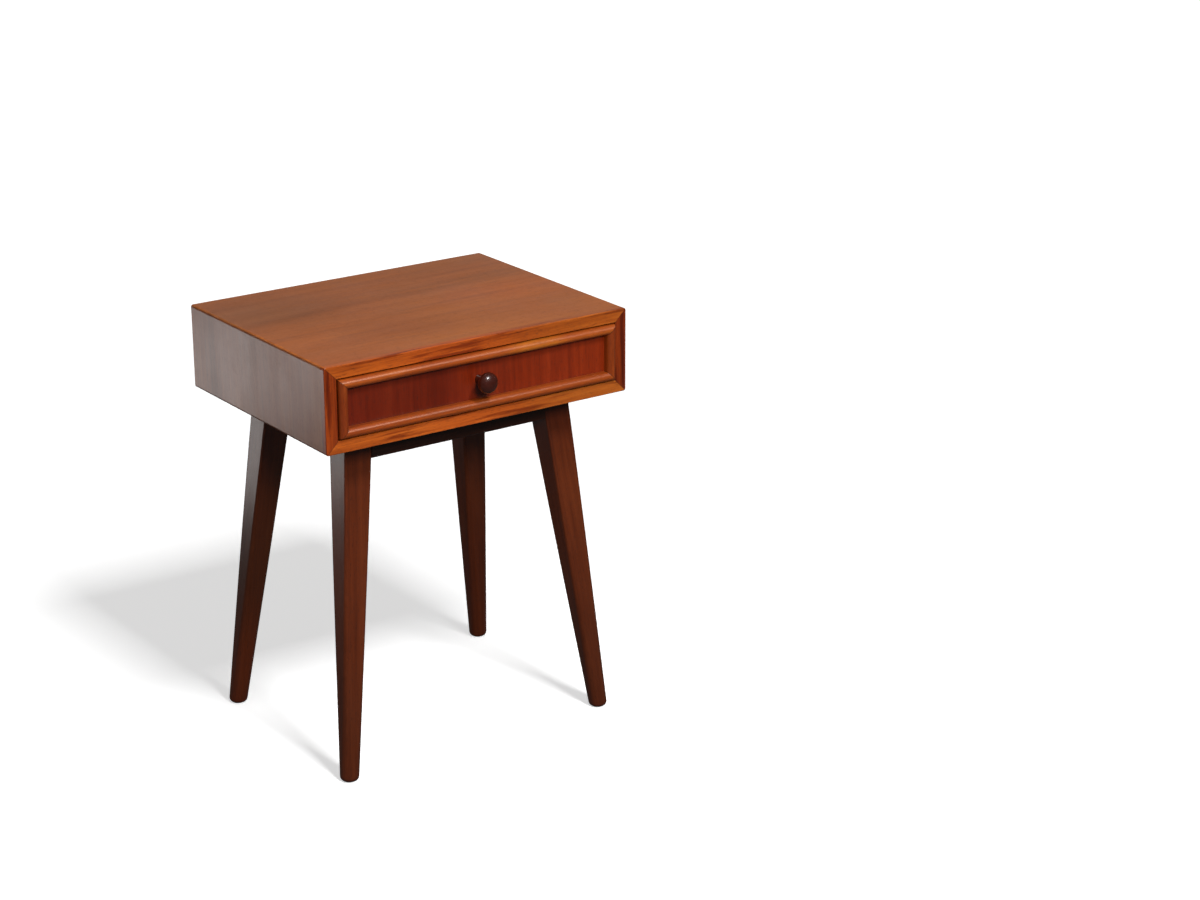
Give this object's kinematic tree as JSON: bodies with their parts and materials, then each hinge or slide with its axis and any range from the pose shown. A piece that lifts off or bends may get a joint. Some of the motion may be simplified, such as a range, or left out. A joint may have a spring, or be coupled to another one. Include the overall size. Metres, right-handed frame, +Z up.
{
  "type": "nightstand",
  "caption": "Small wooden bedside table: a shallow mitred box case with a bead-framed drawer and a turned knob, on splayed tapering legs.",
  "frame": {"origin": "on the floor under the middle of the whole table, from the knob's tip to the back of the case", "axes": "+Z up; the front with the drawer faces -Y; +X is to the right of someone facing the front"},
  "size_m": [0.4, 0.3276, 0.501],
  "materials": {
    "case_veneer": "satin lacquer over reddish brown veneer",
    "edging": "satin lacquer over orange-brown solid wood",
    "bead": "satin lacquer over orange-brown solid wood",
    "drawer_panel": "satin lacquer over dark red veneer",
    "drawer_core": "lacquered edges",
    "drawer_box": "waxed beech",
    "plywood": "bare plywood",
    "runner": "waxed beech",
    "leg": "satin lacquer over dark reddish brown wood",
    "rail": "satin lacquer over dark reddish brown wood",
    "brace": "bare sawn beech",
    "knob": "gloss lacquer, nearly black",
    "steel": "plain bright steel"
  },
  "bodies": {
    "case": {"case_top": "case_veneer", "case_bottom": "case_veneer", "case_left": "case_veneer", "case_right": "case_veneer", "front_edging_top": "edging", "front_edging_bottom": "edging", "front_edging_left": "edging", "front_edging_right": "edging", "back_panel": "plywood", "mitre_splines": "plywood", "runner_left": "runner", "runner_right": "runner", "leg_front_left": "leg", "leg_front_right": "leg", "leg_rear_left": "leg", "leg_rear_right": "leg", "rail_front": "rail", "rail_rear": "rail", "rail_left": "rail", "rail_right": "rail", "corner_block_front_left": "brace", "corner_block_front_right": "brace", "corner_block_rear_left": "brace", "corner_block_rear_right": "brace", "back_panel_pins": "steel", "runner_screws": "steel", "underframe_screws": "steel"},
    "drawer": {"drawer_front_core": "drawer_core", "drawer_face_panel": "drawer_panel", "drawer_bead_top": "bead", "drawer_bead_bottom": "bead", "drawer_bead_left": "bead", "drawer_bead_right": "bead", "drawer_side_left": "drawer_box", "drawer_side_right": "drawer_box", "drawer_back": "drawer_box", "drawer_bottom": "plywood", "drawer_bottom_pins": "steel", "knob": "knob", "knob_screw": "steel", "knob_washer": "steel"}
  },
  "joints": [
    {"name": "drawer_slide", "type": "slide", "parent": "case", "child": "drawer", "axis": [0, -1, 0], "range_m": [0, 0.2]}
  ]
}
